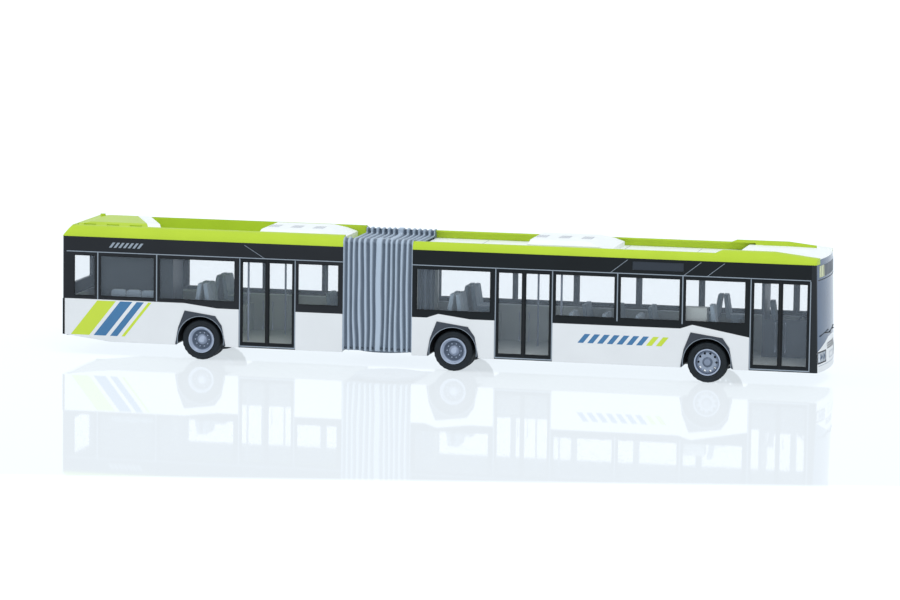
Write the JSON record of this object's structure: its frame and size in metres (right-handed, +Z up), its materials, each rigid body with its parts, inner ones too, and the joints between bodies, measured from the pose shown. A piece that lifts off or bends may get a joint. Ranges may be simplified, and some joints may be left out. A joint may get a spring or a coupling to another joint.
{
  "type": "articulated city bus scale model",
  "caption": "Low-floor articulated city bus as a 1:87 display model, with rolling wheels, a folded bellows and a pivot between its two halves.",
  "frame": {"origin": "on the ground, under the middle of the whole bus", "axes": "+X forward to the nose, +Y to the bus's left (the road side here), +Z up"},
  "size_m": [0.2058, 0.0296, 0.0358],
  "materials": {
    "white_body": "gloss",
    "white_roof": "satin",
    "green_roof": "gloss",
    "green_deck": "satin",
    "black_band": "gloss",
    "door_black": "gloss",
    "dark_screen": "gloss",
    "clear_panes": "clear",
    "lamp_clear": "clear",
    "lamp_red": "gloss",
    "display_grey": "satin",
    "dark_trim": "satin",
    "interior_grey": "satin",
    "seat_blue": "satin",
    "pole_grey": "gloss",
    "cab_dark": "satin",
    "bellows_grey": "matte",
    "axle_steel": "satin",
    "rim_silver": "satin",
    "tyre_black": "matte"
  },
  "bodies": {
    "front_car": {"front_skirt_walls": "white_body", "front_window_band": "black_band", "front_glazing": "clear_panes", "front_coamings": "green_roof", "front_arch_trims": "dark_trim", "front_deck": "white_roof", "front_air_unit": "white_roof", "front_roof_cover": "white_roof", "screen_mask": "dark_screen", "front_panel": "white_body", "headlamps": "lamp_clear", "front_display": "display_grey", "side_display": "display_grey", "front_floor": "interior_grey", "front_seats": "seat_blue", "driver_seat": "seat_blue", "front_poles": "pole_grey", "driver_cab": "cab_dark", "steering_wheel": "cab_dark", "front_end_frame": "cab_dark", "front_door": "door_black", "middle_door": "door_black", "bellows": "bellows_grey", "turntable": "cab_dark"},
    "rear_car": {"rear_skirt_walls": "white_body", "rear_window_band": "black_band", "rear_glazing": "clear_panes", "rear_coamings": "green_roof", "rear_arch_trims": "dark_trim", "rear_deck": "green_deck", "rear_air_unit": "white_roof", "rear_hood": "green_roof", "hood_band": "white_roof", "tail_lamps": "lamp_red", "rear_floor": "interior_grey", "rear_seats": "seat_blue", "rear_poles": "pole_grey", "engine_tower": "cab_dark", "rear_end_frame": "cab_dark", "rear_door": "door_black", "drawbar": "cab_dark"},
    "front_wheels": {"front_axle": "axle_steel", "front_rims": "rim_silver", "front_tyres": "tyre_black"},
    "middle_wheels": {"middle_axle": "axle_steel", "middle_rims": "rim_silver", "middle_tyres": "tyre_black"},
    "rear_wheels": {"rear_axle": "axle_steel", "rear_rims": "rim_silver", "rear_tyres": "tyre_black"}
  },
  "joints": [
    {"name": "articulation", "type": "hinge", "parent": "front_car", "child": "rear_car", "pos_m": [-0.01605, 0, 0], "axis": [0, 0, 1], "range_deg": [-45, 45], "deforming": ["bellows"]},
    {"name": "front_wheels_spin", "type": "hinge", "parent": "front_car", "child": "front_wheels", "pos_m": [0.07235, 0, 0.0054], "axis": [0, 1, 0], "continuous": true},
    {"name": "middle_wheels_spin", "type": "hinge", "parent": "front_car", "child": "middle_wheels", "pos_m": [0.00455, 0, 0.0054], "axis": [0, 1, 0], "continuous": true},
    {"name": "rear_wheels_spin", "type": "hinge", "parent": "rear_car", "child": "rear_wheels", "pos_m": [-0.06445, 0, 0.0054], "axis": [0, 1, 0], "continuous": true}
  ]
}
